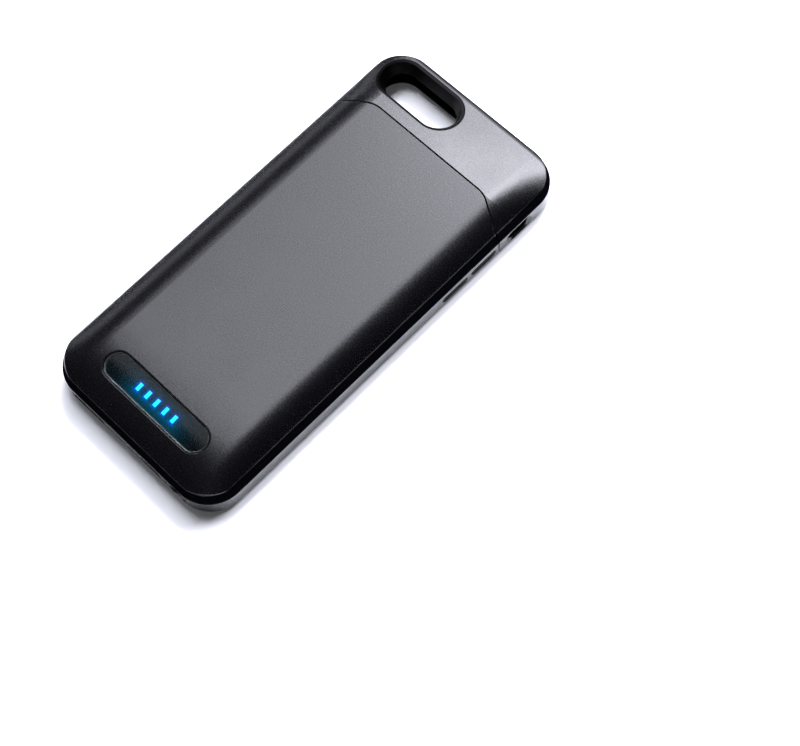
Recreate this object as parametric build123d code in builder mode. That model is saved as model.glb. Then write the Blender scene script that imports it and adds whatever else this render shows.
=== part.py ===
"""Battery charging case for a slim phone: a sleeve with a battery in its back, and a pull-off top cap.

Millimetres. +Z points out of the case's back, +Y towards the cap and the camera, and +X to the side of
the volume buttons. The front rim lies on z = 0 and the plan outline is centred on the origin.
"""

import os
from math import atan, cos, degrees, radians, sin

from build123d import *

# Phone that the case holds
phone_width = 67.1
phone_length = 138.3
phone_thickness = 7.1
phone_corner = 9.6
phone_gap = 0.2

# Band and front rails
side_wall = 1.75
end_wall = 1.75
chin_length = 11.05
plan_corner = 12.0
front_bevel_run = 1.4
front_bevel_rise = 2.0
lip_thickness = 0.9
lip_side = 2.25
lip_top = 2.9
lip_foot = 3.6
lip_bevel = 0.6
display_corner = 7.5

# Crowned back
strip_run = 1.1
strip_rise = 3.6
crown_rise = 3.7
crease_step = 0.05
side_roll = 10.2
side_roll_turn = 32.0
side_roll_end = 70.0
end_run = 3.0
head_drop = 3.5
foot_slope = 28.5
foot_drop = 3.4
foot_power = 3
foot_stations = 5
slope_overrun = 0.5
shell_wall = 1.2
room_inset = 0.9

# Seam between sleeve and cap
cap_side_length = 30.35
cap_back_length = 23.9
seam_flat = 46.0
seam_foot_inset = 1.6
seam_bend = 9.0
seam_foot_bend = 4.0
seam_gap = 0.45
seam_wall = 1.4

# Chin plate on the front
chin_edge = 0.5
chin_groove = 0.25
chin_horn = 11.0

# Tray under the battery
tray_thickness = 0.9
tray_gap = 0.1
boss_width = 4.4
board_lift = 0.8

# Cap tongues
tongue_width = 4.0
tongue_thickness = 1.0
tongue_lift = 0.15
tongue_reach = 8.0
tongue_root = 4.0
tongue_inset = 5.5
slide_gap = 0.15

# Camera opening in the cap
camera_width = 32.0
camera_height = 16.0
camera_from_top = 2.9
camera_from_side = 3.5
bezel_land = 0.3
bezel_flare = 2.4
bezel_proud = 0.15
bezel_gap = 0.05

# Opening for the phone's sliding switch
switch_from_top = 21.15
switch_length = 8.6
switch_height = 4.2
switch_bevel = 0.7

# Side buttons
button_from_top = 36.85
volume_pitch = 12.5
button_lift = 0.25
slot_length = 10.6
slot_height = 2.5
slot_depth = 0.75
slot_bevel = 0.3
button_gap = 0.2
button_sunk = 0.15
button_bevel = 0.25
flange_extra = 0.5
flange_thickness = 0.35
recess_extra = 0.7
button_play = 0.05

# Ports in the bottom end
audio_x = 21.5
audio_radius = 3.25
microphone_x = 16.0
microphone_radius = 0.8
socket_x = 9.9
socket_width = 7.5
socket_height = 2.6
socket_depth = 5.5
socket_wall = 0.3
socket_key = 0.8
socket_sunk = 0.85
socket_gap = 0.3
socket_mouth_bevel = 0.5
speaker_x = -17.5
speaker_length = 14.6
speaker_height = 2.6

# Connector bay in the chin
pocket_wall = 1.2
bay_left = 8.5
bay_right = 14.5
board_thickness = 0.8
board_margin = 0.3
dock_width = 9.0
dock_back = 0.6
tongue_plug_width = 6.7
tongue_plug_thickness = 1.5
tongue_plug_reach = 6.7
plug_gap = 0.2
contact_count = 8
contact_pitch = 0.72
contact_width = 0.42
contact_length = 2.6
contact_thickness = 0.05
contact_from_tip = 1.2
socket_blade_width = 3.7
socket_blade_thickness = 0.6
socket_blade_length = 3.4
flex_x = -6.4
flex_width = 2.6
flex_thickness = 0.2
flex_foot = 2.2
flex_from_wall = 3.0
flex_slot_gap = 0.3

# Battery
cell_width = 53.5
cell_thickness = 4.1
cell_from_foot = 29.25
cell_to_seam = 7.3
cell_bevel = 1.0
pad_width = 44.0
pad_thickness = 0.2
pad_inset = 6.0
guard_width = 28.0
guard_height = 3.2
guard_thickness = 0.8
tab_width = 4.0
tab_thickness = 0.2
tab_x = 8.0
tab_overlap = 3.5

# Main board
main_board_width = 57.0
main_board_foot = 5.95
main_board_gap = 1.5
screw_from_side = 2.3
screw_from_foot = 7.6
screw_head_radius = 1.5
screw_head_height = 0.7
screw_head_sides = 6
screw_radius = 0.7
screw_length = 5.0
screw_gap = 0.1
chip_size = 4.0
chip_height = 0.9
inductor_size = 4.6
inductor_height = 2.6
component_x = 16.0
component_from_edge = 3.2
capacitor_count = 4
capacitor_pitch = 1.9
capacitor_length = 2.0
capacitor_width = 1.2
capacitor_height = 1.1
capacitor_x = 22.4

# Charge indicator
window_length = 42.0
window_width = 9.0
window_from_foot = 13.65
window_gap = 0.1
window_sunk = 0.3
window_thickness = 1.3
window_bevel = 0.35
pane_bevel = 0.2
film_gap = 0.05
film_thickness = 0.1
mask_inset = 0.5
mask_gap = 0.05
bar_count = 5
bar_pitch = 3.72
bar_width = 1.25
bar_length = 2.7
bar_gap = 0.05
led_height = 0.6

# Places worked out from the sizes above
pocket_half = phone_width / 2 + phone_gap
half_width = pocket_half + side_wall
pocket_length = phone_length + 2 * phone_gap
total_length = end_wall + pocket_length + chin_length
top_y = total_length / 2
foot_y = -total_length / 2
pocket_top = top_y - end_wall
pocket_foot = foot_y + chin_length
pocket_centre = (pocket_top + pocket_foot) / 2
part_z = lip_thickness + phone_gap + phone_thickness
crease_z = part_z + strip_rise
crown_z = crease_z + crown_rise
phone_mid_z = lip_thickness + phone_gap / 2 + phone_thickness / 2
display_half = pocket_half - lip_side
display_top = pocket_top - lip_top
display_foot = pocket_foot + lip_foot
seam_side_y = top_y - cap_side_length
seam_back_y = top_y - cap_back_length
seam_foot_x = half_width - seam_foot_inset
foot_start = foot_y + strip_run + foot_slope
head_slope = cap_back_length - strip_run
strip_lean = degrees(atan(strip_run / strip_rise))
inner_lean = degrees(atan(strip_run / (strip_rise - shell_wall)))
roll_x = half_width - strip_run - crease_step - side_roll
tray_z = part_z + tray_thickness
board_z = tray_z + board_lift
board_top_z = board_z + board_thickness
camera_x = camera_from_side + camera_width / 2 - half_width
camera_y = top_y - camera_from_top - camera_height / 2
button_y = top_y - button_from_top
button_z = phone_mid_z + button_lift
shoulder_x = half_width - slot_depth
bay_foot = foot_y + end_wall
bay_top = pocket_foot - pocket_wall
dock_board_top = phone_mid_z - socket_height / 2
bay_floor = dock_board_top - board_thickness
window_y = foot_y + window_from_foot
screw_x = main_board_width / 2 - screw_from_side
far = 4 * total_length
bevel_angle = 45.0


def rounded_plan(inset):
    """Plan outline of the case, drawn in by an inset on every side."""
    RectangleRounded(2 * (half_width - inset), total_length - 2 * inset, plan_corner - inset)


def display_outline(spread):
    """Outline of the display window in the front rails, spread on every side."""
    with Locations((0, (display_top + display_foot) / 2)):
        RectangleRounded(
            2 * (display_half + spread),
            display_top - display_foot + 2 * spread,
            display_corner + spread,
        )


def crown_height(along):
    """Height of the back's middle over the crease: a curved fall to the foot, a straight one on the cap."""
    into_foot = max(0, (foot_start - along) / foot_slope)
    into_head = max(0, (along - seam_back_y) / head_slope)
    return crown_rise - foot_drop * into_foot**foot_power - head_drop * into_head


def profile_arc(centre_x, centre_rise, radius, start, size, squash, base_z):
    """Arc of the back's cross-section, squashed in height where the back falls."""
    centre = (centre_x, base_z + squash * centre_rise)
    if squash == 1:
        return CenterArc(centre, radius, start, size)
    return EllipticalCenterArc(centre, radius, squash * radius, start_angle=start, arc_size=size)


def roll_radii():
    """Radii of the broad and the tight arc on each side of the back's cross-section."""
    turn = radians(side_roll_turn)
    end = radians(side_roll_end)
    slope = (1 - cos(turn)) / sin(turn)
    tight = (crown_rise - side_roll * slope) / (cos(turn) - cos(end) - (sin(end) - sin(turn)) * slope)
    broad = (side_roll - tight * (sin(end) - sin(turn))) / sin(turn)
    return broad, tight


def back_profile(height):
    """Cross-section of the crowned back: a level middle, and on each side a broad arc that runs into a
    tight one, which ends at the crease."""
    broad, tight = roll_radii()
    turn = radians(side_roll_turn)
    tight_x = roll_x + (broad - tight) * sin(turn)
    broad_rise = crown_rise - broad
    tight_rise = broad_rise + (broad - tight) * cos(turn)
    turned = side_roll_end - side_roll_turn
    shape = (height / crown_rise, crease_z)
    with BuildLine() as outline:
        right = profile_arc(tight_x, tight_rise, tight, 90 - side_roll_end, turned, *shape)
        upper_right = profile_arc(roll_x, broad_rise, broad, 90 - side_roll_turn, side_roll_turn, *shape)
        upper_left = profile_arc(-roll_x, broad_rise, broad, 90, side_roll_turn, *shape)
        left = profile_arc(-tight_x, tight_rise, tight, 90 + side_roll_turn, turned, *shape)
        Line(upper_right @ 1, upper_left @ 0)
        Line(left @ 1, right @ 0)
    make_face(outline.edges())


def end_blank():
    """Plan outline of the back above the crease, with both ends leaning in."""
    with BuildPart() as blank:
        for lift, draw in ((0, 0), (crown_rise + crease_step, end_run)):
            with BuildSketch(Plane.XY.offset(crease_z + lift)):
                RectangleRounded(
                    2 * (half_width - strip_run),
                    total_length - 2 * (strip_run + draw),
                    plan_corner - strip_run,
                )
        loft(ruled=True)
    return blank.part


def back_blank():
    """Solid back over the whole plan: a curved foot, a level middle, a straight slope on the cap, and the
    sloped strip between the band and the crease."""
    foot_end = foot_start - foot_slope
    foot_curve = [foot_end + foot_slope * step / foot_stations for step in range(foot_stations + 1)]
    foot_curve.insert(0, foot_end - slope_overrun)
    head_run = [seam_back_y, seam_back_y + head_slope + slope_overrun]
    with BuildPart() as blank:
        for along in foot_curve:
            with BuildSketch(Plane.XZ.offset(-along)):
                back_profile(crown_height(along))
        loft()
        with BuildSketch(Plane.XZ.offset(-foot_start)):
            back_profile(crown_rise)
        extrude(amount=foot_start - seam_back_y)
        for along in head_run:
            with BuildSketch(Plane.XZ.offset(-along)):
                back_profile(crown_height(along))
        loft(ruled=True)
        add(end_blank(), mode=Mode.INTERSECT)
        with BuildSketch(Plane.XY.offset(part_z)):
            rounded_plan(0)
        extrude(amount=strip_rise, taper=strip_lean)
    return blank.part


def back_room():
    """Hollow of the back: flat walls inside the rolled sides, under a roof folded down to both ends."""
    inner = roll_radii()[0] - shell_wall
    arc_z = crown_z - shell_wall - inner
    turns = [radians(side_roll_turn * share) for share in (0, 0.5, 1)]
    wall = [(roll_x + inner * sin(turn), arc_z + inner * cos(turn)) for turn in turns]
    across = [*wall, (wall[-1][0], part_z)]
    mirrored = [(-x, z) for x, z in reversed(across)]
    foot_bends = [foot_start - foot_slope * share for share in (0.75, 0.4, 0)]
    roof_bends = [foot_y, *foot_bends, seam_back_y, top_y]
    roof = [(along, crease_z + crown_height(along) - shell_wall) for along in roof_bends]
    with BuildPart() as room:
        with BuildSketch(Plane.XZ.offset(-foot_y)):
            with BuildLine():
                Polyline(*across, *mirrored, close=True)
            make_face()
        extrude(amount=-total_length)
        with BuildSketch(Plane.XY.offset(part_z)):
            rounded_plan(shell_wall + strip_run + room_inset)
        extrude(amount=crown_z, mode=Mode.INTERSECT)
        with BuildSketch(Plane.YZ):
            with BuildLine():
                Polyline((foot_y, part_z), *roof, (top_y, part_z), close=True)
            make_face()
        extrude(amount=half_width, both=True, mode=Mode.INTERSECT)
        with BuildSketch(Plane.XY.offset(part_z)):
            rounded_plan(shell_wall)
        extrude(amount=strip_rise - shell_wall, taper=inner_lean)
    return room.part


def frame_blank():
    """Band of the whole case with its front bevel, the phone pocket and the display window."""
    with BuildPart() as blank:
        with BuildSketch():
            rounded_plan(0)
        extrude(amount=part_z)
        front = blank.faces().sort_by(Axis.Z)[0]
        chamfer(front.edges(), front_bevel_run, front_bevel_rise, reference=front)
        with BuildSketch(Plane.XY.offset(lip_thickness)):
            with Locations((0, pocket_centre)):
                RectangleRounded(2 * pocket_half, pocket_length, phone_corner + phone_gap)
        extrude(amount=part_z - lip_thickness, mode=Mode.SUBTRACT)
        add(display_cutter, mode=Mode.SUBTRACT)
    return blank.part


def above_seam(shift):
    """Everything on the cap's side of the back's curved seam, with the seam moved along Y."""
    with BuildPart() as region:
        with BuildSketch():
            with BuildLine():
                seam = FilletPolyline(
                    (-half_width - seam_foot_inset, seam_side_y + shift),
                    (-seam_foot_x, seam_side_y + shift),
                    (-seam_flat / 2, seam_back_y + shift),
                    (seam_flat / 2, seam_back_y + shift),
                    (seam_foot_x, seam_side_y + shift),
                    (half_width + seam_foot_inset, seam_side_y + shift),
                    radius=[seam_foot_bend, seam_bend, seam_bend, seam_foot_bend],
                )
                Polyline(
                    seam @ 1,
                    (half_width + seam_foot_inset, total_length),
                    (-half_width - seam_foot_inset, total_length),
                    seam @ 0,
                )
            make_face()
        extrude(amount=2 * crown_z)
    return region.part


def on_window_rim(edge):
    """Whether an edge runs round the indicator's hole on the outside of the back."""
    middle = edge.center()
    near = abs(middle.Y - window_y) < window_width and abs(middle.X) < window_length
    return near and middle.Z > crease_z + crown_height(middle.Y) - shell_wall / 2


def tray_plate(shift, above):
    """Floor plate behind the phone, on one side of the seam."""
    with BuildPart() as plate:
        with BuildSketch(Plane.XY.offset(part_z)):
            rounded_plan(shell_wall + tray_thickness * strip_run / (strip_rise - shell_wall) + tray_gap)
        extrude(amount=tray_thickness)
        add(above_seam(shift), mode=Mode.INTERSECT if above else Mode.SUBTRACT)
    return plate.part


def socket_outline(spread):
    """Outline of the charging socket's mouth, spread on every side."""
    with Locations((socket_x, phone_mid_z)):
        RectangleRounded(
            socket_width + 2 * (socket_gap + spread),
            socket_height + 2 * (socket_gap + spread),
            socket_key + spread,
        )


# Cutter of the display window, wider at the front for the bevel on the rails' inner edges
with BuildPart() as display_window:
    with BuildSketch():
        display_outline(lip_bevel)
    extrude(amount=lip_bevel, taper=bevel_angle)
    with BuildSketch(Plane.XY.offset(lip_bevel)):
        display_outline(0)
    extrude(amount=part_z - lip_bevel)
display_cutter = display_window.part

# Tangent plane of the back in the middle of the charge indicator
window_share = (foot_start - window_y) / foot_slope
window_fall = foot_power * foot_drop * window_share ** (foot_power - 1) / foot_slope
window_plane = Plane(
    origin=(0, window_y, crease_z + crown_height(window_y)),
    x_dir=(1, 0, 0),
    z_dir=(0, -window_fall, 1),
)

outer_crown = back_blank()
inner_crown = back_room()
case_frame = frame_blank()
cap_region = above_seam(seam_gap)
sleeve_limit = above_seam(0)
hollow_limit = above_seam(-seam_wall)

# Back shell of the sleeve
with BuildPart() as battery_room:
    add(inner_crown)
    add(hollow_limit, mode=Mode.SUBTRACT)

with BuildPart() as back_shell:
    add(outer_crown)
    add(sleeve_limit, mode=Mode.SUBTRACT)
    add(battery_room.part, mode=Mode.SUBTRACT)
    with BuildSketch(window_plane):
        SlotOverall(window_length, window_width)
    extrude(amount=crown_rise, both=True, mode=Mode.SUBTRACT)
    window_rim = back_shell.edges().filter_by(on_window_rim)
    chamfer(window_rim, window_bevel)
    tongue_slot_z = tray_z + tongue_lift + tongue_thickness / 2
    tongue_slot_width = tongue_width + 2 * slide_gap
    tongue_slot_height = tongue_thickness + 2 * slide_gap
    for side in (-1, 1):
        with BuildSketch(Plane.XZ.offset(-seam_back_y)):
            with Locations((side * (half_width - tongue_inset), tongue_slot_z)):
                Rectangle(tongue_slot_width, tongue_slot_height)
        extrude(amount=seam_back_y - seam_side_y + tongue_reach, mode=Mode.SUBTRACT)

# Side frame of the sleeve
with BuildPart() as side_frame:
    add(case_frame)
    split(bisect_by=Plane.XZ.offset(-seam_side_y), keep=Keep.TOP)
    with BuildSketch():
        rounded_plan(front_bevel_run + chin_edge)
        with Locations((0, pocket_foot + chin_horn + chin_groove)):
            Rectangle(far, far, align=(Align.CENTER, Align.MIN), mode=Mode.SUBTRACT)
    extrude(amount=lip_thickness, mode=Mode.SUBTRACT)
    # connector bay, open towards the tray
    with BuildSketch(Plane.XY.offset(bay_floor)):
        with Locations(((bay_right - bay_left) / 2, (bay_foot + bay_top) / 2)):
            Rectangle(bay_left + bay_right, bay_top - bay_foot)
    extrude(amount=part_z - bay_floor, mode=Mode.SUBTRACT)
    # straight ways from the bottom end to the phone
    with BuildSketch(Plane.XZ.offset(-pocket_foot)):
        with Locations((audio_x, phone_mid_z)):
            Circle(audio_radius)
        with Locations((microphone_x, phone_mid_z)):
            Circle(microphone_radius)
        with Locations((speaker_x, phone_mid_z)):
            SlotOverall(speaker_length, speaker_height)
    extrude(amount=chin_length, mode=Mode.SUBTRACT)
    # mouth of the charging socket
    with BuildSketch(Plane.XZ.offset(-foot_y)):
        socket_outline(0)
    extrude(amount=-end_wall, mode=Mode.SUBTRACT)
    with BuildSketch(Plane.XZ.offset(-foot_y)):
        socket_outline(socket_mouth_bevel)
    extrude(amount=-socket_mouth_bevel, taper=bevel_angle, mode=Mode.SUBTRACT)
    # slot for the plug that stands in the pocket
    with BuildSketch(Plane.XZ.offset(-pocket_foot)):
        with Locations((0, phone_mid_z)):
            RectangleRounded(
                tongue_plug_width + 2 * plug_gap,
                tongue_plug_thickness + 2 * plug_gap,
                tongue_plug_thickness / 2,
            )
    extrude(amount=pocket_wall, mode=Mode.SUBTRACT)
    # button slots, each with a recess behind it for the button's flange
    for side, along in ((1, button_y), (1, button_y - volume_pitch), (-1, button_y)):
        with BuildSketch(Plane.YZ.offset(side * half_width)):
            with Locations((along, button_z)):
                SlotOverall(slot_length, slot_height)
        extrude(amount=-side * side_wall, mode=Mode.SUBTRACT)
        with BuildSketch(Plane.YZ.offset(side * shoulder_x)):
            with Locations((along, button_z)):
                Rectangle(slot_length + 2 * recess_extra, slot_height + 2 * recess_extra)
        extrude(amount=-side * (side_wall - slot_depth), mode=Mode.SUBTRACT)
        with BuildSketch(Plane.YZ.offset(side * half_width)):
            with Locations((along, button_z)):
                SlotOverall(slot_length + 2 * slot_bevel, slot_height + 2 * slot_bevel)
        extrude(amount=-side * slot_bevel, taper=bevel_angle, mode=Mode.SUBTRACT)
    # pilot holes of the two board screws
    with BuildSketch(Plane.XY.offset(part_z)):
        for side in (-1, 1):
            with Locations((side * screw_x, foot_y + screw_from_foot)):
                Circle(screw_radius + screw_gap)
    extrude(amount=-(screw_length + part_z - board_top_z + screw_gap), mode=Mode.SUBTRACT)

# Chin plate
with BuildPart() as chin_plate:
    with BuildSketch():
        rounded_plan(front_bevel_run + chin_edge + chin_groove)
        with Locations((0, pocket_foot + chin_horn)):
            Rectangle(far, far, align=(Align.CENTER, Align.MIN), mode=Mode.SUBTRACT)
    extrude(amount=lip_thickness)
    add(display_cutter, mode=Mode.SUBTRACT)

# Inner tray
with BuildPart() as inner_tray:
    add(tray_plate(-seam_wall - tray_gap, above=False))
    with BuildSketch(Plane.XY.offset(tray_z)):
        for side in (-1, 1):
            with Locations((side * screw_x, foot_y + screw_from_foot)):
                Rectangle(boss_width, boss_width)
            with Locations((side * screw_x, foot_y + cell_from_foot - main_board_gap - boss_width)):
                Rectangle(boss_width, boss_width)
    extrude(amount=board_lift)
    with BuildSketch(Plane.XY.offset(part_z)):
        for side in (-1, 1):
            with Locations((side * screw_x, foot_y + screw_from_foot)):
                Circle(screw_radius + screw_gap)
        with Locations((flex_x, bay_foot + flex_from_wall)):
            Rectangle(flex_width + 2 * flex_slot_gap, flex_thickness + 2 * flex_slot_gap)
    extrude(amount=board_z - part_z, mode=Mode.SUBTRACT)

# Frame of the top cap: band, front rails, floor behind the phone, and the two tongues that hold it
with BuildPart() as cap_frame:
    add(case_frame)
    split(bisect_by=Plane.XZ.offset(-seam_side_y - seam_gap), keep=Keep.BOTTOM)
    add(tray_plate(seam_gap, above=True))
    for side in (-1, 1):
        with BuildSketch(Plane.XY.offset(tray_z + tongue_lift)):
            with Locations((side * (half_width - tongue_inset), seam_side_y - tongue_reach)):
                Rectangle(
                    tongue_width,
                    seam_back_y - seam_side_y + tongue_reach + tongue_root,
                    align=(Align.CENTER, Align.MIN),
                )
        extrude(amount=tongue_thickness)
        with BuildSketch(Plane.XY.offset(tray_z)):
            with Locations((side * (half_width - tongue_inset), seam_back_y + seam_gap)):
                Rectangle(tongue_width, tongue_root - seam_gap, align=(Align.CENTER, Align.MIN))
        extrude(amount=tongue_lift)
    with BuildSketch(Plane.XY.offset(part_z)):
        with Locations((camera_x, camera_y)):
            SlotOverall(camera_width + 2 * bezel_gap, camera_height + 2 * bezel_gap)
    extrude(amount=tray_thickness, mode=Mode.SUBTRACT)
    # bevelled opening for the phone's sliding switch
    with BuildSketch(Plane.YZ.offset(half_width)):
        with Locations((top_y - switch_from_top, button_z)):
            SlotOverall(switch_length, switch_height)
    extrude(amount=-side_wall, mode=Mode.SUBTRACT)
    with BuildSketch(Plane.YZ.offset(half_width)):
        with Locations((top_y - switch_from_top, button_z)):
            SlotOverall(switch_length + 4 * switch_bevel, switch_height + 2 * switch_bevel)
    with BuildSketch(Plane.YZ.offset(half_width - switch_bevel)):
        with Locations((top_y - switch_from_top, button_z)):
            SlotOverall(switch_length, switch_height)
    loft(ruled=True, mode=Mode.SUBTRACT)

# Back of the top cap
with BuildPart() as cap_shell:
    add(outer_crown)
    add(inner_crown, mode=Mode.SUBTRACT)
    add(cap_region, mode=Mode.INTERSECT)
    with BuildSketch(Plane.XY.offset(part_z)):
        with Locations((camera_x, camera_y)):
            SlotOverall(camera_width + 2 * bezel_gap, camera_height + 2 * bezel_gap)
    extrude(amount=crown_z, mode=Mode.SUBTRACT)

# Flared ring of the camera opening
with BuildPart() as camera_bezel:
    with BuildSketch(Plane.XY.offset(part_z)):
        with Locations((camera_x, camera_y)):
            SlotOverall(camera_width, camera_height)
    extrude(amount=crown_z)
    with Locations((0, 0, bezel_proud)):
        add(outer_crown, mode=Mode.INTERSECT)
    throat_inset = bezel_land + bezel_flare
    with BuildSketch(Plane.XY.offset(part_z)):
        with Locations((camera_x, camera_y)):
            SlotOverall(camera_width - 2 * throat_inset, camera_height - 2 * throat_inset)
    with BuildSketch(Plane.XY.offset(crown_z)):
        with Locations((camera_x, camera_y)):
            SlotOverall(camera_width - 2 * bezel_land, camera_height - 2 * bezel_land)
    loft(ruled=True, mode=Mode.SUBTRACT)


def side_button(side, along):
    """Captive button: a stem in the slot of the band and a flange behind the slot's shoulder."""
    flange_x = shoulder_x - button_play
    with BuildPart() as button:
        with BuildSketch(Plane.YZ.offset(side * flange_x)):
            with Locations((along, button_z)):
                Rectangle(slot_length + 2 * flange_extra, slot_height + 2 * flange_extra)
        extrude(amount=-side * flange_thickness)
        with BuildSketch(Plane.YZ.offset(side * flange_x)):
            with Locations((along, button_z)):
                SlotOverall(slot_length - 2 * button_gap, slot_height - 2 * button_gap)
        extrude(amount=side * (half_width - button_sunk - flange_x))
        rim = button.faces().sort_by(Axis.X)[-1 if side > 0 else 0].edges()
        chamfer(rim, button_bevel)
    return button.part


# Battery, its foam pad and the guard board at its lower end
cell_foot = foot_y + cell_from_foot
cell_top = seam_back_y - seam_wall - cell_to_seam
cell_z = tray_z + pad_thickness
with BuildPart() as battery_cell:
    with BuildSketch(Plane.XY.offset(cell_z)):
        with Locations((0, (cell_foot + cell_top) / 2)):
            Rectangle(cell_width, cell_top - cell_foot)
    extrude(amount=cell_thickness)
    long_edges = battery_cell.edges().filter_by(Axis.Y)
    chamfer(long_edges, cell_bevel)

with BuildPart() as battery_pad:
    with BuildSketch(Plane.XY.offset(tray_z)):
        with Locations((0, (cell_foot + cell_top) / 2)):
            Rectangle(pad_width, cell_top - cell_foot - 2 * pad_inset)
    extrude(amount=pad_thickness)

guard_y = cell_foot - guard_thickness
with BuildPart() as protection_board:
    with BuildSketch(Plane.XZ.offset(-cell_foot)):
        with Locations((0, tray_z)):
            Rectangle(guard_width, guard_height, align=(Align.CENTER, Align.MIN))
    extrude(amount=guard_thickness)

with BuildPart() as battery_tabs:
    with BuildSketch(Plane.XY.offset(board_top_z)):
        for side in (-1, 1):
            with Locations((side * tab_x, guard_y)):
                Rectangle(tab_width, main_board_gap + tab_overlap, align=(Align.CENTER, Align.MAX))
    extrude(amount=tab_thickness)

# Main board on the tray's bosses
main_foot = foot_y + main_board_foot
main_top = guard_y - main_board_gap
with BuildPart() as main_board:
    with BuildSketch(Plane.XY.offset(board_z)):
        with Locations((0, (main_foot + main_top) / 2)):
            Rectangle(main_board_width, main_top - main_foot)
        for side in (-1, 1):
            with Locations((side * screw_x, foot_y + screw_from_foot)):
                Circle(screw_radius + screw_gap, mode=Mode.SUBTRACT)
    extrude(amount=board_thickness)

with BuildPart() as board_screws:
    for side in (-1, 1):
        with BuildSketch(Plane.XY.offset(board_top_z)):
            with Locations((side * screw_x, foot_y + screw_from_foot)):
                RegularPolygon(screw_head_radius, screw_head_sides)
        extrude(amount=screw_head_height)
        with BuildSketch(Plane.XY.offset(board_top_z)):
            with Locations((side * screw_x, foot_y + screw_from_foot)):
                Circle(screw_radius)
        extrude(amount=-screw_length)

component_y = main_top - component_from_edge
with BuildPart() as converter_chip:
    with BuildSketch(Plane.XY.offset(board_top_z)):
        with Locations((-component_x, component_y)):
            Rectangle(chip_size, chip_size)
    extrude(amount=chip_height)

with BuildPart() as power_inductor:
    with BuildSketch(Plane.XY.offset(board_top_z)):
        with Locations((component_x, component_y)):
            Rectangle(inductor_size, inductor_size)
    extrude(amount=inductor_height)

with BuildPart() as board_capacitors:
    with BuildSketch(Plane.XY.offset(board_top_z)):
        with Locations((-capacitor_x, component_y)):
            with GridLocations(1, capacitor_pitch, 1, capacitor_count // 2):
                Rectangle(capacitor_length, capacitor_width)
        with Locations((capacitor_x, component_y)):
            with GridLocations(1, capacitor_pitch, 1, capacitor_count // 2):
                Rectangle(capacitor_length, capacitor_width)
    extrude(amount=capacitor_height)

# Charge indicator: window, touch film, mask with five light bars, and the LEDs on the board
with BuildPart() as indicator_window:
    with BuildSketch(window_plane.offset(-window_sunk)):
        SlotOverall(window_length - 2 * window_gap, window_width - 2 * window_gap)
    extrude(amount=-window_thickness)
    pane = indicator_window.faces().sort_by(Axis.Z)[-1]
    chamfer(pane.edges(), pane_bevel)

film_drop = window_sunk + window_thickness + film_gap
mask_drop = film_drop + film_thickness + mask_gap
mask_length = window_length - 2 * (window_gap + mask_inset)
mask_width = window_width - 2 * (window_gap + mask_inset)
mask_plane = window_plane.offset(-mask_drop)
with BuildPart() as touch_film:
    with BuildSketch(window_plane.offset(-film_drop)):
        SlotOverall(mask_length, mask_width)
        with GridLocations(bar_pitch, 1, bar_count, 1):
            Rectangle(bar_width, bar_length, mode=Mode.SUBTRACT)
    extrude(amount=-film_thickness)

with BuildPart() as light_mask:
    with BuildSketch(Plane.XY.offset(board_top_z)):
        with Locations((0, window_y)):
            SlotOverall(mask_length, mask_width)
            with GridLocations(bar_pitch, 1, bar_count, 1):
                Rectangle(bar_width + 2 * bar_gap, bar_length + 2 * bar_gap, mode=Mode.SUBTRACT)
    extrude(amount=crown_z)
    split(bisect_by=mask_plane, keep=Keep.BOTTOM)


def bar_places():
    """Centres of the light bars, from left to right."""
    return [bar_pitch * (index - (bar_count - 1) / 2) for index in range(bar_count)]


def light_bar(along):
    """Clear bar that carries one LED's light up to the window."""
    with BuildPart() as bar:
        with BuildSketch(Plane.XY.offset(board_top_z + led_height)):
            with Locations((along, window_y)):
                Rectangle(bar_width, bar_length)
        extrude(amount=crown_z)
        split(bisect_by=mask_plane, keep=Keep.BOTTOM)
    return bar.part


with BuildPart() as status_leds:
    with BuildSketch(Plane.XY.offset(board_top_z)):
        with Locations((0, window_y)):
            with GridLocations(bar_pitch, 1, bar_count, 1):
                Rectangle(bar_width, bar_length)
    extrude(amount=led_height)

# Connector board in the chin, with the plug for the phone and the charging socket
with BuildPart() as dock_board:
    with BuildSketch(Plane.XY.offset(bay_floor)):
        with Locations(((bay_right - bay_left) / 2, (bay_foot + bay_top) / 2)):
            Rectangle(bay_left + bay_right - 2 * board_margin, bay_top - bay_foot - 2 * board_margin)
    extrude(amount=board_thickness)

dock_front = bay_top - dock_back / 2
with BuildPart() as dock_body:
    with BuildSketch(Plane.XY.offset(dock_board_top)):
        with Locations((0, dock_front)):
            Rectangle(
                dock_width, bay_top - bay_foot - 2 * dock_back, align=(Align.CENTER, Align.MAX)
            )
    extrude(amount=socket_height)

with BuildPart() as dock_tongue:
    with BuildSketch(Plane.XZ.offset(-dock_front)):
        with Locations((0, phone_mid_z)):
            SlotOverall(tongue_plug_width, tongue_plug_thickness)
    extrude(amount=-(pocket_foot - dock_front + tongue_plug_reach))

with BuildPart() as dock_contacts:
    contact_y = pocket_foot + tongue_plug_reach - contact_from_tip
    for side in (-1, 1):
        with BuildSketch(Plane.XY.offset(phone_mid_z + side * tongue_plug_thickness / 2)):
            with Locations((0, contact_y - contact_length / 2)):
                with GridLocations(contact_pitch, 1, contact_count, 1):
                    Rectangle(contact_width, contact_length)
        extrude(amount=side * contact_thickness)

socket_mouth = foot_y + socket_sunk
with BuildPart() as charging_socket:
    with BuildSketch(Plane.XZ.offset(-socket_mouth)):
        with Locations((socket_x, phone_mid_z)):
            Rectangle(socket_width, socket_height)
    extrude(amount=-socket_depth)
    keyed = charging_socket.edges().filter_by(Axis.Y).group_by(Axis.Z)[-1]
    chamfer(keyed, socket_key)
    mouth = charging_socket.faces().sort_by(Axis.Y)[0]
    offset(amount=-socket_wall, openings=mouth)

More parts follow.
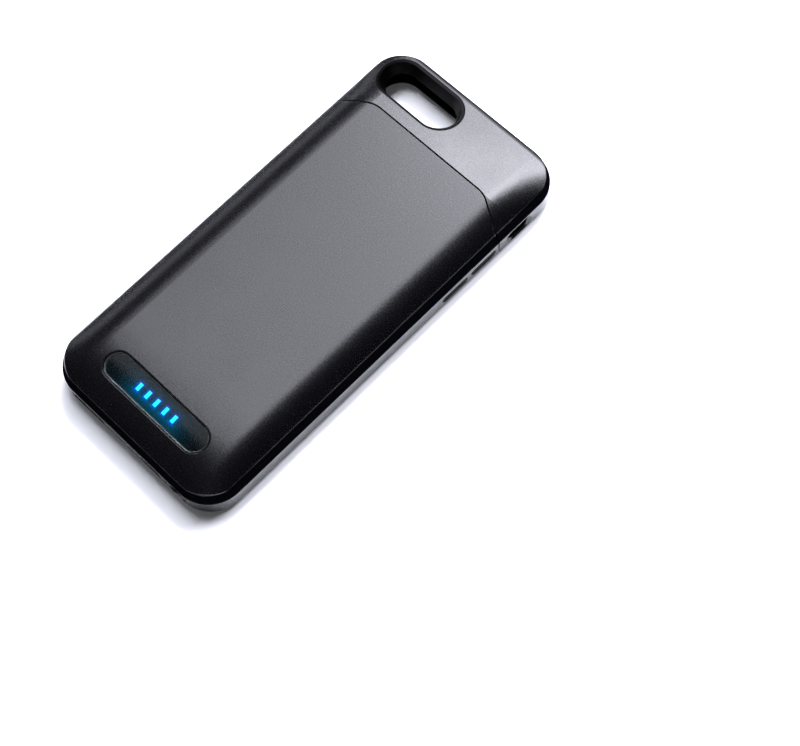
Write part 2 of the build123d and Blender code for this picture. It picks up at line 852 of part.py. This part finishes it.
with BuildPart() as socket_tongue:
    with BuildSketch(Plane.XZ.offset(-(socket_mouth + socket_depth - socket_wall))):
        with Locations((socket_x, phone_mid_z)):
            Rectangle(socket_blade_width, socket_blade_thickness)
    extrude(amount=socket_blade_length)

# Flat flex from the connector board up to the main board
flex_y = bay_foot + flex_from_wall
with BuildPart() as board_flex:
    with BuildSketch(Plane.YZ.offset(flex_x - flex_width / 2)):
        with BuildLine():
            Polyline(
                (flex_y - flex_thickness / 2, dock_board_top),
                (flex_y + flex_foot, dock_board_top),
                (flex_y + flex_foot, dock_board_top + flex_thickness),
                (flex_y + flex_thickness / 2, dock_board_top + flex_thickness),
                (flex_y + flex_thickness / 2, board_z - flex_thickness),
                (flex_y + flex_foot, board_z - flex_thickness),
                (flex_y + flex_foot, board_z),
                (flex_y - flex_thickness / 2, board_z),
                close=True,
            )
        make_face()
    extrude(amount=flex_width)

pieces = {
    "back_shell": back_shell.part,
    "side_frame": side_frame.part,
    "chin_plate": chin_plate.part,
    "inner_tray": inner_tray.part,
    "cap_frame": cap_frame.part,
    "cap_shell": cap_shell.part,
    "camera_bezel": camera_bezel.part,
    "volume_up_button": side_button(1, button_y),
    "volume_down_button": side_button(1, button_y - volume_pitch),
    "power_button": side_button(-1, button_y),
    "battery_cell": battery_cell.part,
    "battery_pad": battery_pad.part,
    "protection_board": protection_board.part,
    "battery_tabs": battery_tabs.part,
    "main_board": main_board.part,
    "board_screws": board_screws.part,
    "converter_chip": converter_chip.part,
    "power_inductor": power_inductor.part,
    "board_capacitors": board_capacitors.part,
    "indicator_window": indicator_window.part,
    "touch_film": touch_film.part,
    "light_mask": light_mask.part,
    "status_leds": status_leds.part,
    "dock_board": dock_board.part,
    "dock_body": dock_body.part,
    "dock_tongue": dock_tongue.part,
    "dock_contacts": dock_contacts.part,
    "charging_socket": charging_socket.part,
    "socket_tongue": socket_tongue.part,
    "board_flex": board_flex.part,
}
for index, along in enumerate(bar_places(), start=1):
    pieces[f"light_bar_{index}"] = light_bar(along)

os.makedirs("parts", exist_ok=True)
for name, piece in pieces.items():
    piece.label = name
    export_step(piece, f"parts/{name}.step")
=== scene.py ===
"""Studio picture of a battery charging case that lies back up: finishes, charge lights, light and camera.

Metres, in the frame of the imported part: +Z out of the case's back, +Y towards the cap, +X to the side of
the volume buttons.
"""

import logging
from dataclasses import dataclass
from enum import Enum
from math import pi
from typing import ClassVar

import bmesh
import bpy
from mathutils import Matrix, Vector

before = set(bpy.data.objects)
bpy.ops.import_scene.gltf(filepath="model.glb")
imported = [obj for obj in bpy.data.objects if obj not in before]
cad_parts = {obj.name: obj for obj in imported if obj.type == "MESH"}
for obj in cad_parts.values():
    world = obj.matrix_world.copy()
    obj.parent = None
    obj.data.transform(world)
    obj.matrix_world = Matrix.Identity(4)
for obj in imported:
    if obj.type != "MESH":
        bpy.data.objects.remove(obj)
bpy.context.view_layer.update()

log = logging.getLogger("charging_case")

MM = 0.001
IMAGE_WIDTH = 800

Colour = tuple[float, float, float]
Triple = tuple[float, float, float]
Span = tuple[float, float]
Socket = bpy.types.NodeSocket

WHITE: Colour = (1.0, 1.0, 1.0)


class Grain(Enum):
    """How a moulded surface is broken up."""

    SPARK = "spark-eroded speckle"
    SATIN = "fine satin"
    SMOOTH = "polished"


@dataclass(frozen=True)
class Finish:
    """One surface finish, as numbers for a Principled shader.

    Attributes:
        name: Name of the material.
        colour: Linear base colour.
        roughness: Mean roughness.
        roughness_spread: How far the roughness strays from the mean over the grain.
        metallic: 1 for bare metal.
        grain: Kind of surface grain.
        grain_pitch: Size of one grain in metres.
        grain_height: Strength of the grain's bump.
        colour_spread: How far the colour strays, as a share of it.
        specular: Specular level.
        sparkle: How far the specular tint strays down from white over the grain.
        painted_shade_below: Height under which the specular level drops, which paints shade on the strip
            under the crease, or 0 for nowhere.
        painted_shade_blend: Distance above and below that height over which it drops.
        painted_shade_specular: Specular level under that height, kept low for the painted shade.
        matte_roughness: Roughness that is added under that height.
        edge_round: Radius that edges seem to be rounded by, or 0 for crisp ones.
        glow: Emission strength of the base colour.
    """

    name: str
    colour: Colour
    roughness: float
    roughness_spread: float = 0.05
    metallic: float = 0.0
    grain: Grain = Grain.SATIN
    grain_pitch: float = 0.25 * MM
    grain_height: float = 0.05
    colour_spread: float = 0.15
    specular: float = 0.5
    sparkle: float = 0.0
    painted_shade_below: float = 0.0
    painted_shade_blend: float = 0.15 * MM
    painted_shade_specular: float = 0.0
    matte_roughness: float = 0.6
    edge_round: float = 0.0
    glow: float = 0.0


class NodeKit:
    """Short ways to add nodes to one material."""

    edge_samples = 12

    def __init__(self, material: bpy.types.Material) -> None:
        """Takes hold of a material's node tree.

        Args:
            material: The material, which gets its default nodes here.
        """
        material.use_nodes = True
        self.nodes = material.node_tree.nodes
        self.links = material.node_tree.links
        self.shader = self.nodes["Principled BSDF"]
        self.place = self.nodes.new("ShaderNodeTexCoord").outputs["Object"]
        split = self.nodes.new("ShaderNodeSeparateXYZ")
        self.links.new(self.place, split.inputs["Vector"])
        self.x, self.y, self.z = (split.outputs[axis] for axis in "XYZ")

    def feed(self, source: Socket, name: str) -> None:
        """Links a socket to an input of the shader.

        Args:
            source: Socket with the value.
            name: Name of the shader's input.
        """
        self.links.new(source, self.shader.inputs[name])

    def noise(self, pitch: float, detail: float) -> Socket:
        """Noise on Object coordinates.

        Args:
            pitch: Size of one blotch in metres.
            detail: Number of octaves.

        Returns:
            The noise, around a half.
        """
        node = self.nodes.new("ShaderNodeTexNoise")
        node.inputs["Scale"].default_value = 1.0 / pitch
        node.inputs["Detail"].default_value = detail
        self.links.new(self.place, node.inputs["Vector"])
        return node.outputs["Fac"]

    def remap(self, source: Socket, span: Span, to: Span) -> Socket:
        """Maps one range of values onto another, clamped at both ends.

        Args:
            source: Socket with the values.
            span: Range to map from.
            to: Range to map onto.

        Returns:
            The mapped value.
        """
        node = self.nodes.new("ShaderNodeMapRange")
        node.inputs["From Min"].default_value = span[0]
        node.inputs["From Max"].default_value = span[1]
        node.inputs["To Min"].default_value = to[0]
        node.inputs["To Max"].default_value = to[1]
        self.links.new(source, node.inputs["Value"])
        return node.outputs["Result"]

    def calc(self, operation: str, *values: Socket | float) -> Socket:
        """One step of arithmetic.

        Args:
            operation: Name of the Math node's operation.
            values: Sockets or plain numbers, in order.

        Returns:
            The result.
        """
        node = self.nodes.new("ShaderNodeMath")
        node.operation = operation
        for slot, value in zip(node.inputs, values):
            if isinstance(value, (int, float)):
                slot.default_value = value
            else:
                self.links.new(value, slot)
        return node.outputs["Value"]

    def soft_edge(self, radius: float) -> Socket:
        """Normals that bend over edges as if they were rounded.

        Args:
            radius: Radius of the rounding in metres.

        Returns:
            The bent normal.
        """
        node = self.nodes.new("ShaderNodeBevel")
        node.samples = self.edge_samples
        node.inputs["Radius"].default_value = radius
        return node.outputs["Normal"]

    def outside(self, value: Socket, limit: float) -> Socket:
        """How far a value lies from 0 past a limit on either side.

        Args:
            value: Socket with the value.
            limit: The limit.

        Returns:
            The excess, 0 within the limit.
        """
        return self.calc("MAXIMUM", self.calc("SUBTRACT", self.calc("ABSOLUTE", value), limit), 0.0)

    def length(self, along: Socket, across: Socket) -> Socket:
        """Distance from two legs at a right angle.

        Args:
            along: One leg.
            across: The other leg.

        Returns:
            The distance.
        """
        squares = [self.calc("MULTIPLY", leg, leg) for leg in (along, across)]
        return self.calc("SQRT", self.calc("ADD", *squares))

    def tint(self, colour: Colour, amount: Socket) -> Socket:
        """A colour times a value.

        Args:
            colour: Linear colour.
            amount: Socket with the value.

        Returns:
            The scaled colour.
        """
        node = self.nodes.new("ShaderNodeVectorMath")
        node.operation = "SCALE"
        node.inputs["Vector"].default_value = colour
        self.links.new(amount, node.inputs["Scale"])
        return node.outputs["Vector"]

    def both(self, first: Socket, second: Socket) -> Socket:
        """Two colours added.

        Args:
            first: One colour.
            second: The other colour.

        Returns:
            Their sum.
        """
        node = self.nodes.new("ShaderNodeVectorMath")
        node.operation = "ADD"
        self.links.new(first, node.inputs[0])
        self.links.new(second, node.inputs[1])
        return node.outputs["Vector"]


class FinishBuilder:
    """Turns finishes into procedural materials on Object coordinates."""

    octaves = {Grain.SPARK: 2.0, Grain.SATIN: 3.0, Grain.SMOOTH: 1.0}
    middle = (0.3, 0.7)
    blotch_pitch = 14 * MM
    blotch_share = 0.06

    def __init__(self) -> None:
        """Starts with no material made."""
        self.made: dict[str, bpy.types.Material] = {}

    def material(self, finish: Finish) -> bpy.types.Material:
        """Material of a finish, made once.

        Args:
            finish: The finish to build.

        Returns:
            The material.
        """
        if finish.name not in self.made:
            self.made[finish.name] = self.build(finish)
        return self.made[finish.name]

    def build(self, finish: Finish) -> bpy.types.Material:
        """Builds a finish's nodes: the grain drives colour, roughness and bump.

        Args:
            finish: The finish to build.

        Returns:
            The new material.
        """
        material = bpy.data.materials.new(finish.name)
        kit = NodeKit(material)
        kit.shader.inputs["Metallic"].default_value = finish.metallic
        kit.shader.inputs["Specular IOR Level"].default_value = finish.specular
        grain = kit.noise(finish.grain_pitch, self.octaves[finish.grain])
        tone = kit.remap(grain, self.middle, (1 - finish.colour_spread, 1 + finish.colour_spread))
        colour = kit.tint(finish.colour, tone)
        kit.feed(colour, "Base Color")
        self.roughen(kit, finish, grain)
        self.raise_grain(kit, finish, grain)
        if finish.sparkle:
            shine = kit.remap(grain, self.middle, (1 - finish.sparkle, 1.0))
            kit.feed(kit.tint(WHITE, shine), "Specular Tint")
        # Painted shade: under a set height the specular level drops, so the strip under the crease reads
        # black.
        if finish.painted_shade_below:
            levels = (finish.painted_shade_specular, finish.specular)
            kit.feed(kit.remap(kit.z, self.painted_shade_span(finish), levels), "Specular IOR Level")
        if finish.glow:
            kit.feed(colour, "Emission Color")
            kit.shader.inputs["Emission Strength"].default_value = finish.glow
        return material

    def roughen(self, kit: NodeKit, finish: Finish, grain: Socket) -> None:
        """Lets the roughness stray with the grain and with broad, faint blotches of handling.

        Args:
            kit: Nodes of the material.
            finish: The finish to build.
            grain: Socket with the grain.
        """
        low = finish.roughness - finish.roughness_spread
        high = finish.roughness + finish.roughness_spread
        fine = kit.remap(grain, self.middle, (low, high))
        blotch = kit.noise(self.blotch_pitch, self.octaves[Grain.SATIN])
        broad = kit.remap(blotch, self.middle, (1 - self.blotch_share, 1 + self.blotch_share))
        rough = kit.calc("MULTIPLY", fine, broad)
        # The zone of the painted shade under that height is also made rougher.
        if finish.painted_shade_below:
            added = kit.remap(kit.z, self.painted_shade_span(finish), (finish.matte_roughness, 0.0))
            rough = kit.calc("ADD", rough, added)
        kit.feed(rough, "Roughness")

    @staticmethod
    def painted_shade_span(finish: Finish) -> Span:
        """Heights between which a finish goes from the painted shade, with its added roughness, to its own
        gloss.

        Args:
            finish: The finish to build.

        Returns:
            The lower and the upper height.
        """
        return finish.painted_shade_below - finish.painted_shade_blend, finish.painted_shade_below + finish.painted_shade_blend

    @staticmethod
    def raise_grain(kit: NodeKit, finish: Finish, grain: Socket) -> None:
        """Gives the surface its bump, over edges that seem slightly rounded.

        Args:
            kit: Nodes of the material.
            finish: The finish to build.
            grain: Socket with the grain.
        """
        bump = kit.nodes.new("ShaderNodeBump")
        bump.inputs["Strength"].default_value = finish.grain_height
        bump.inputs["Distance"].default_value = finish.grain_pitch
        kit.links.new(grain, bump.inputs["Height"])
        if finish.edge_round:
            kit.links.new(kit.soft_edge(finish.edge_round), bump.inputs["Normal"])
        kit.feed(bump.outputs["Normal"], "Normal")


# Under 12.1 mm the shell's specular level drops: painted shade on the strip under the crease.
SHELL = Finish(
    "satin_shell", (0.0018, 0.0017, 0.0027), 0.26, 0.03, grain=Grain.SPARK, grain_pitch=0.36 * MM,
    grain_height=0.010, colour_spread=0.25, specular=0.40, sparkle=0.45, painted_shade_below=12.1 * MM,
    edge_round=0.22 * MM,
)
BAND = Finish(
    "side_band", (0.004, 0.004, 0.0044), 0.26, 0.04, grain_height=0.02, specular=0.48, edge_round=0.25 * MM
)
CHIN = Finish(
    "chin_face", (0.014, 0.014, 0.015), 0.42, 0.05, grain=Grain.SPARK, grain_height=0.08,
    edge_round=0.10 * MM,
)
WELL = Finish(
    "camera_well", (0.0012, 0.0011, 0.0010), 0.36, 0.04, grain_height=0.02, specular=0.03,
    edge_round=0.15 * MM,
)
BUTTON = Finish(
    "button_cap", (0.0015, 0.0015, 0.0016), 0.42, 0.04, grain_height=0.03, specular=0.02,
    edge_round=0.12 * MM,
)
TRAY = Finish("tray_moulding", (0.018, 0.018, 0.019), 0.55, 0.06, grain=Grain.SPARK, grain_height=0.08)
MASK = Finish("light_mask_black", (0.004, 0.004, 0.005), 0.5, 0.04, grain_height=0.02)
LAMP = Finish("lamp_resin", (0.8, 0.82, 0.7), 0.3, 0.03, grain=Grain.SMOOTH, grain_height=0.01)
POUCH = Finish(
    "cell_pouch", (0.55, 0.56, 0.58), 0.38, 0.08, metallic=1.0, grain_pitch=0.8 * MM, grain_height=0.12
)
FOAM = Finish("foam_pad", (0.03, 0.03, 0.03), 0.9, 0.05, grain=Grain.SPARK, grain_height=0.3)
BOARD = Finish("solder_mask", (0.010, 0.060, 0.035), 0.3, 0.05, grain_pitch=0.5 * MM, grain_height=0.04)
PLATED = Finish("gold_plate", (0.80, 0.58, 0.25), 0.25, 0.05, metallic=1.0, grain_height=0.02)
SCREW = Finish("zinc_screw", (0.55, 0.55, 0.57), 0.35, 0.08, metallic=1.0, grain_height=0.05)
CHIP = Finish("chip_mould", (0.015, 0.015, 0.016), 0.6, 0.06, grain_height=0.1)
CERAMIC = Finish("capacitor_ceramic", (0.40, 0.29, 0.17), 0.5, 0.05, grain_height=0.05)
HOUSING = Finish("connector_housing", (0.015, 0.015, 0.016), 0.45, 0.05, grain_height=0.05)
STEEL = Finish("connector_steel", (0.60, 0.60, 0.61), 0.28, 0.07, metallic=1.0, grain_height=0.03)
FLEX = Finish("flex_polyimide", (0.30, 0.13, 0.03), 0.35, 0.05, grain_height=0.02)
FLOOR = Finish(
    "light_table", (0.85, 0.86, 0.88), 0.7, 0.05, grain_pitch=4 * MM, grain_height=0.01, colour_spread=0.005,
    specular=0.1, glow=0.05,
)


@dataclass
class FinishedGroup:
    """CAD nodes that each take one finish."""

    finishes: FinishBuilder
    dressed: ClassVar[dict[str, Finish]] = {}

    def dress(self) -> None:
        """Gives each node its finish."""
        for node, finish in self.dressed.items():
            put_material(node, self.finishes.material(finish))


class CaseShells(FinishedGroup):
    """Outer mouldings of the case."""

    dressed = {
        "back_shell": SHELL,
        "cap_shell": SHELL,
        "side_frame": BAND,
        "cap_frame": BAND,
        "chin_plate": CHIN,
        "camera_bezel": WELL,
        "volume_up_button": BUTTON,
        "volume_down_button": BUTTON,
        "power_button": BUTTON,
        "inner_tray": TRAY,
    }


class PowerPack(FinishedGroup):
    """Battery, boards and connectors inside the case."""

    dressed = {
        "battery_cell": POUCH,
        "battery_pad": FOAM,
        "protection_board": BOARD,
        "battery_tabs": PLATED,
        "main_board": BOARD,
        "board_screws": SCREW,
        "converter_chip": CHIP,
        "power_inductor": CHIP,
        "board_capacitors": CERAMIC,
        "dock_board": BOARD,
        "dock_body": HOUSING,
        "dock_tongue": STEEL,
        "dock_contacts": PLATED,
        "charging_socket": STEEL,
        "socket_tongue": HOUSING,
        "board_flex": FLEX,
    }


@dataclass
class ChargeIndicator(FinishedGroup):
    """Window in the back with five lit bars behind it, and the light that they spill on the film.

    Attributes:
        bar_count: Number of bars.
        glass_tint: Colour that the glass gives to light passing through.
        glass_index: Refractive index of the glass.
        wipe_pitch: Size of one wipe mark on the glass.
        polish: Range of the glass's roughness over the wipe marks.
        ground_edge: Width of the glass's ground edge.
        edge_roughness: Roughness of that edge.
        bar_light: Colour of the bars.
        bar_strength: Emission strength of the bars.
        bar_unevenness: Range of that strength over a bar, as shares of it.
        bar_cloud: Size of one cloud in a bar.
        bar_roughness: Roughness of the bars.
        film_colour: Base colour of the film.
        film_pitch: Size of one mark on the film.
        film_roughness: Range of the film's roughness.
        halo_light: Colour of the tight halo round each bar.
        halo_strength: Brightness of the halo at the bar.
        halo_reach: Distance over which the halo falls to about a third.
        spill_light: Colour of the wide spill.
        spill_strength: Brightness of the spill at its middle.
        spill_reach: Distance over which the spill falls to about a third.
        spill_shift: Distance of the spill's middle from the bars, towards the foot.
    """

    dressed = {"light_mask": MASK, "status_leds": LAMP}
    bar_count: int = 5
    glass_tint: Colour = (0.72, 0.80, 0.83)
    glass_index: float = 1.5
    wipe_pitch: float = 3 * MM
    polish: Span = (0.03, 0.05)
    ground_edge: float = 0.6 * MM
    edge_roughness: float = 0.35
    bar_light: Colour = (0.0, 0.72, 1.0)
    bar_strength: float = 1.6
    bar_unevenness: Span = (0.9, 1.1)
    bar_cloud: float = 0.8 * MM
    bar_roughness: float = 0.3
    film_colour: Colour = (0.0006, 0.0008, 0.0010)
    film_pitch: float = 0.4 * MM
    film_roughness: Span = (0.45, 0.55)
    halo_light: Colour = (0.0, 0.10, 1.0)
    halo_strength: float = 0.9
    halo_reach: float = 0.32 * MM
    spill_light: Colour = (0.0, 0.50, 0.85)
    spill_strength: float = 0.18
    spill_reach: float = 2.8 * MM
    spill_shift: float = 1.6 * MM

    def dress(self) -> None:
        """Gives the window its glass, the bars their light, the film its glow and the rest their finish."""
        super().dress()
        put_material("indicator_window", self.glass())
        put_material("touch_film", self.film())
        bar = self.lit_bar()
        for index in range(1, self.bar_count + 1):
            put_material(f"light_bar_{index}", bar)

    def glass(self) -> bpy.types.Material:
        """Polished glass of the window, with faint wipe marks and a ground edge.

        Returns:
            The material.
        """
        material = bpy.data.materials.new("indicator_glass")
        kit = NodeKit(material)
        kit.shader.inputs["Base Color"].default_value = (*self.glass_tint, 1.0)
        kit.shader.inputs["IOR"].default_value = self.glass_index
        kit.shader.inputs["Transmission Weight"].default_value = 1.0
        marks = kit.noise(self.wipe_pitch, FinishBuilder.octaves[Grain.SATIN])
        polished = kit.remap(marks, FinishBuilder.middle, self.polish)
        kit.feed(kit.calc("MAXIMUM", polished, self.ground_rim(kit)), "Roughness")
        return material

    def ground_rim(self, kit: NodeKit) -> Socket:
        """Roughness of the glass's ground edge, from the distance to the line between its round ends.

        Args:
            kit: Nodes of the material.

        Returns:
            The roughness, 0 away from the edge.
        """
        middle, half = node_box("indicator_window")
        past_end = kit.outside(kit.x, half.x - half.y)
        distance = kit.length(past_end, kit.calc("SUBTRACT", kit.y, middle.y))
        edge = (half.y - self.ground_edge, half.y - self.ground_edge / 2)
        return kit.remap(distance, edge, (0.0, self.edge_roughness))

    def lit_bar(self) -> bpy.types.Material:
        """Light guide that glows cyan, slightly unevenly.

        Returns:
            The material.
        """
        material = bpy.data.materials.new("lit_bar")
        kit = NodeKit(material)
        kit.shader.inputs["Base Color"].default_value = (*self.bar_light, 1.0)
        kit.shader.inputs["Roughness"].default_value = self.bar_roughness
        kit.shader.inputs["Emission Color"].default_value = (*self.bar_light, 1.0)
        cloud = kit.noise(self.bar_cloud, FinishBuilder.octaves[Grain.SMOOTH])
        share = kit.remap(cloud, FinishBuilder.middle, self.bar_unevenness)
        kit.feed(kit.calc("MULTIPLY", share, self.bar_strength), "Emission Strength")
        return material

    def film(self) -> bpy.types.Material:
        """Dark conductor film, with a tight halo round each bar and a wide spill towards the foot.

        Returns:
            The material.
        """
        material = bpy.data.materials.new("conductor_film")
        kit = NodeKit(material)
        kit.shader.inputs["Base Color"].default_value = (*self.film_colour, 1.0)
        kit.shader.inputs["Specular IOR Level"].default_value = 0.0
        marks = kit.noise(self.film_pitch, FinishBuilder.octaves[Grain.SATIN])
        kit.feed(kit.remap(marks, FinishBuilder.middle, self.film_roughness), "Roughness")
        halo = self.fading(kit, self.bar_distance(kit), self.halo_reach, self.halo_strength)
        spill = self.fading(kit, self.spill_distance(kit), self.spill_reach, self.spill_strength)
        glow = kit.both(kit.tint(self.halo_light, halo), kit.tint(self.spill_light, spill))
        kit.feed(glow, "Emission Color")
        kit.shader.inputs["Emission Strength"].default_value = 1.0
        return material

    def bar_distance(self, kit: NodeKit) -> Socket:
        """Distance from the nearest bar.

        Args:
            kit: Nodes of the material.

        Returns:
            The distance, 0 over a bar.
        """
        middle, half = node_box("light_bar_1")
        pitch = node_box("light_bar_2")[0].x - middle.x
        steps = kit.calc("DIVIDE", kit.calc("SUBTRACT", kit.x, middle.x), pitch)
        started = kit.calc("MAXIMUM", kit.calc("ROUND", steps), 0.0)
        nearest = kit.calc("MINIMUM", started, self.bar_count - 1)
        centre = kit.calc("ADD", kit.calc("MULTIPLY", nearest, pitch), middle.x)
        along = kit.outside(kit.calc("SUBTRACT", kit.x, centre), half.x)
        across = kit.outside(kit.calc("SUBTRACT", kit.y, middle.y), half.y)
        return kit.length(along, across)

    def spill_distance(self, kit: NodeKit) -> Socket:
        """Distance from a line that runs beside the row of bars and is as long as the row.

        Args:
            kit: Nodes of the material.

        Returns:
            The distance.
        """
        middle, half = node_box(f"light_bar_{self.bar_count}")
        along = kit.outside(kit.x, middle.x + half.x)
        across = kit.calc("SUBTRACT", kit.y, middle.y - self.spill_shift)
        return kit.length(along, across)

    @staticmethod
    def fading(kit: NodeKit, distance: Socket, reach: float, strength: float) -> Socket:
        """Brightness that fades with distance.

        Args:
            kit: Nodes of the material.
            distance: Socket with the distance.
            reach: Distance over which the brightness falls to about a third.
            strength: Brightness at no distance.

        Returns:
            The brightness.
        """
        share = kit.calc("EXPONENT", kit.calc("DIVIDE", distance, -reach))
        return kit.calc("MULTIPLY", share, strength)


@dataclass(frozen=True)
class Panel:
    """Level light panel that hangs over the case.

    Attributes:
        name: Name of the light.
        left: Edge towards -X, in metres.
        right: Edge towards +X.
        near: Edge towards -Y.
        far: Edge towards +Y.
        height: Height over the floor.
        radiance: Brightness of its face.
    """

    name: str
    left: float
    right: float
    near: float
    far: float
    height: float
    radiance: float


@dataclass(frozen=True)
class Card:
    """Upright dim card beside the case, for its rolled sides to reflect.

    Attributes:
        name: Name of the light.
        place: Middle of the card, in metres.
        faces: Direction that it shines in.
        size: Width and height.
        radiance: Brightness of its face.
    """

    name: str
    place: Triple
    faces: Triple
    size: Span
    radiance: float


@dataclass
class Studio:
    """Floor, lights and camera.

    Attributes:
        finishes: Where the table's material comes from.
        floor_half: Half the table's side.
        floor_gap: Gap between the case and the table.
        camera_place: Place of the lens.
        camera_right: Direction that runs right in the picture.
        camera_down: Direction that runs down in the picture.
        focal_pixels: Focal length, in pixels of the picture.
        sensor_width: Width of the sensor in Blender's millimetres.
        panels: Softbox in steps of brightness, which the back and the cap reflect.
        cards: Cards at the sides.
        table_panel: Panel that lights the table alone.
        light_tint: Linear colour of all lights.
        ambient: Brightness of the surroundings.
    """

    finishes: FinishBuilder
    floor_half: float = 1.5
    floor_gap: float = 0.02 * MM
    camera_place: Triple = (203.20 * MM, -134.94 * MM, 497.99 * MM)
    camera_right: Triple = (0.714200, 0.698273, -0.048303)
    camera_down: Triple = (0.631950, -0.672955, -0.384410)
    focal_pixels: float = 1805.1
    sensor_width: float = 36.0
    panels: tuple[Panel, ...] = (
        Panel("softbox_left", -0.62, -0.42, 0.0, 1.2, 1.0, 8.2),
        Panel("softbox_right", -0.42, -0.05, 0.0, 1.2, 1.0, 9.9),
        Panel("softbox_lip", -0.62, -0.05, -0.134, 0.0, 1.0, 0.5),
        Panel("softbox_core", -0.50, -0.15, 0.51, 0.96, 0.98, 34.0),
    )
    cards: tuple[Card, ...] = (
        Card("left_card", (-1.3, 0.3, 0.56), (1.0, 0.0, 0.0), (1.8, 0.4), 2.1),
        Card("foot_card", (0.9, -0.9, 0.45), (-0.7, 0.7, 0.0), (1.4, 0.5), 0.5),
    )
    table_panel: Panel = Panel("table_lift", 0.0, 0.5, 0.8, 1.6, 1.0, 32.0)
    light_tint: Colour = (0.90, 0.91, 1.0)
    ambient: float = 0.03

    def build(self) -> None:
        """Makes the floor, the lights, the surroundings and the camera."""
        floor = self.floor()
        for panel in self.panels:
            self.hang(panel)
        self.lift(floor)
        for card in self.cards:
            self.stand(card)
        self.surroundings()
        self.camera()

    def floor(self) -> bpy.types.Object:
        """Large pale light table just under the case.

        Returns:
            The table's object.
        """
        mesh = bmesh.new()
        bmesh.ops.create_grid(mesh, x_segments=1, y_segments=1, size=self.floor_half)
        bmesh.ops.translate(mesh, verts=mesh.verts, vec=(0, 0, -self.floor_gap))
        floor = finished_object("floor", mesh)
        floor.data.materials.append(self.finishes.material(FLOOR))
        return floor

    def hang(self, panel: Panel) -> bpy.types.Object:
        """Hangs one level panel that shines straight down.

        Args:
            panel: The panel to hang.

        Returns:
            The light's object.
        """
        size = (panel.right - panel.left, panel.far - panel.near)
        lamp = area_light(panel.name, size, panel.radiance, self.light_tint)
        lamp.location = ((panel.left + panel.right) / 2, (panel.near + panel.far) / 2, panel.height)
        return lamp

    def lift(self, floor: bpy.types.Object) -> None:
        """Panel that lights the table alone, so that the case's shadow stays thin.

        Args:
            floor: The table's object.
        """
        lit = bpy.data.collections.new("table_only")
        lit.objects.link(floor)
        self.hang(self.table_panel).light_linking.receiver_collection = lit

    def stand(self, card: Card) -> None:
        """Stands one card beside the case.

        Args:
            card: The card to stand.
        """
        lamp = area_light(card.name, card.size, card.radiance, self.light_tint)
        lamp.location = card.place
        lamp.rotation_euler = (-Vector(card.faces)).to_track_quat("Z", "Y").to_euler()

    def surroundings(self) -> None:
        """Even dim surroundings."""
        world = bpy.data.worlds.new("studio")
        world.use_nodes = True
        background = world.node_tree.nodes["Background"]
        background.inputs["Color"].default_value = (*WHITE, 1.0)
        background.inputs["Strength"].default_value = self.ambient
        bpy.context.scene.world = world

    def camera(self) -> None:
        """Camera at the photograph's place, turned the same way."""
        data = bpy.data.cameras.new("camera")
        data.sensor_fit = "HORIZONTAL"
        data.sensor_width = self.sensor_width
        data.lens = self.focal_pixels * self.sensor_width / IMAGE_WIDTH
        camera = bpy.data.objects.new("camera", data)
        right = Vector(self.camera_right)
        up = -Vector(self.camera_down)
        back = right.cross(up)
        turn = Matrix((right, up, back)).transposed().to_4x4()
        camera.matrix_world = Matrix.Translation(self.camera_place) @ turn
        bpy.context.scene.collection.objects.link(camera)
        bpy.context.scene.camera = camera


def area_light(name: str, size: Span, radiance: float, tint: Colour) -> bpy.types.Object:
    """Makes a rectangular light of a stated brightness, at the origin and facing down.

    Args:
        name: Name of the light.
        size: Width and length in metres.
        radiance: Brightness of its face.
        tint: Linear colour of the light.

    Returns:
        The light's object.
    """
    light = bpy.data.lights.new(name, "AREA")
    light.shape = "RECTANGLE"
    light.size, light.size_y = size
    light.energy = radiance * pi * size[0] * size[1]
    light.color = tint
    lamp = bpy.data.objects.new(name, light)
    bpy.context.scene.collection.objects.link(lamp)
    return lamp


def finished_object(name: str, mesh: bmesh.types.BMesh) -> bpy.types.Object:
    """Writes a bmesh to a new object at the origin and frees it.

    Args:
        name: Name of the object.
        mesh: The finished bmesh.

    Returns:
        The new object.
    """
    data = bpy.data.meshes.new(name)
    mesh.to_mesh(data)
    mesh.free()
    made = bpy.data.objects.new(name, data)
    bpy.context.scene.collection.objects.link(made)
    return made


def node_box(node: str) -> tuple[Vector, Vector]:
    """Box of a CAD node.

    Args:
        node: Name of the node.

    Returns:
        Its middle and half its extents.
    """
    corners = [vertex.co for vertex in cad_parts[node].data.vertices]
    low = Vector([min(corner[axis] for corner in corners) for axis in range(3)])
    high = Vector([max(corner[axis] for corner in corners) for axis in range(3)])
    return (low + high) / 2, (high - low) / 2


def put_material(node: str, material: bpy.types.Material) -> None:
    """Puts a material on a CAD node in place of its plain one.

    Args:
        node: Name of the node.
        material: The material to show.
    """
    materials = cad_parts[node].data.materials
    materials.clear()
    materials.append(material)
    log.info("dressed %s with %s", node, material.name)


def main() -> None:
    """Builds the scene in order."""
    logging.basicConfig(level=logging.INFO, format="%(message)s")
    finishes = FinishBuilder()
    CaseShells(finishes).dress()
    PowerPack(finishes).dress()
    ChargeIndicator(finishes).dress()
    Studio(finishes).build()
    bpy.context.scene.view_settings.view_transform = "Standard"


if __name__ == "__main__":
    main()
